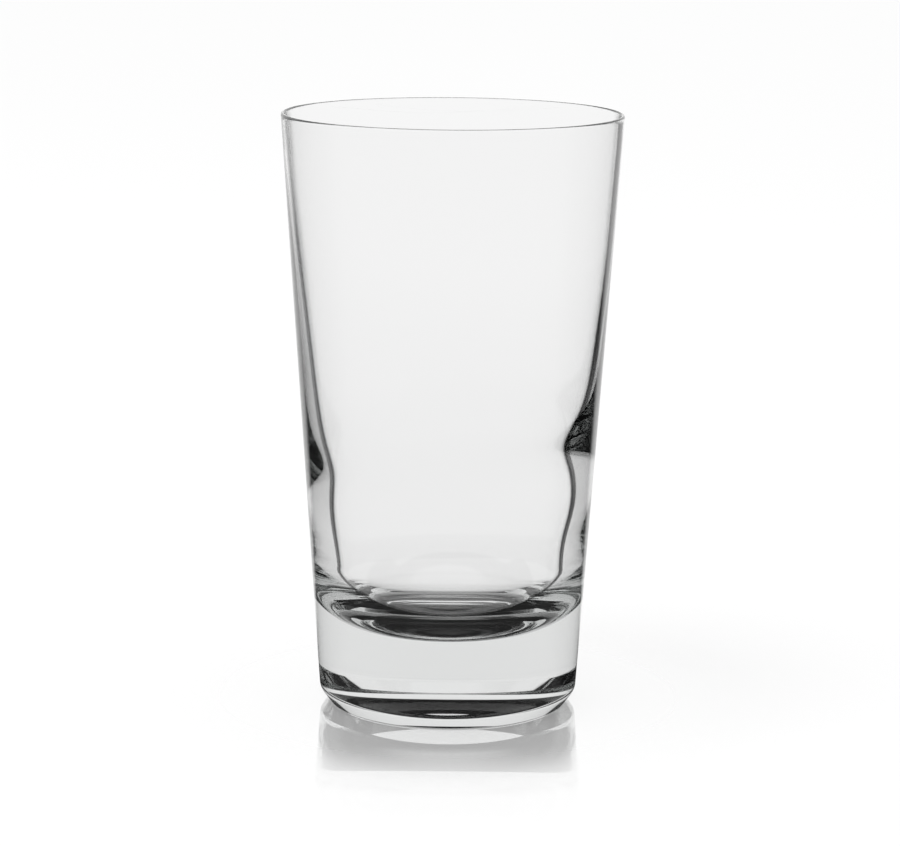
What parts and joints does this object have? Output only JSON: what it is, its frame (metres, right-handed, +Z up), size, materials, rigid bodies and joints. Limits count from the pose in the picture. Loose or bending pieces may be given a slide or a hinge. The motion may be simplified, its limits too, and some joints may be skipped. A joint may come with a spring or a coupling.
{
  "type": "highball glass",
  "caption": "Tall tapered highball glass in clear pressed glass, with a thick solid base, a soft inner shoulder and a domed hollow in the underside.",
  "frame": {"origin": "centre of the circle that the glass stands on", "axes": "+Z up along the glass's axis of revolution, towards the rim"},
  "size_m": [0.0789, 0.079, 0.1385],
  "materials": {
    "glass": "clear pressed soda-lime glass, fire polished"
  },
  "bodies": {
    "root": {"glass": "glass"}
  },
  "joints": []
}
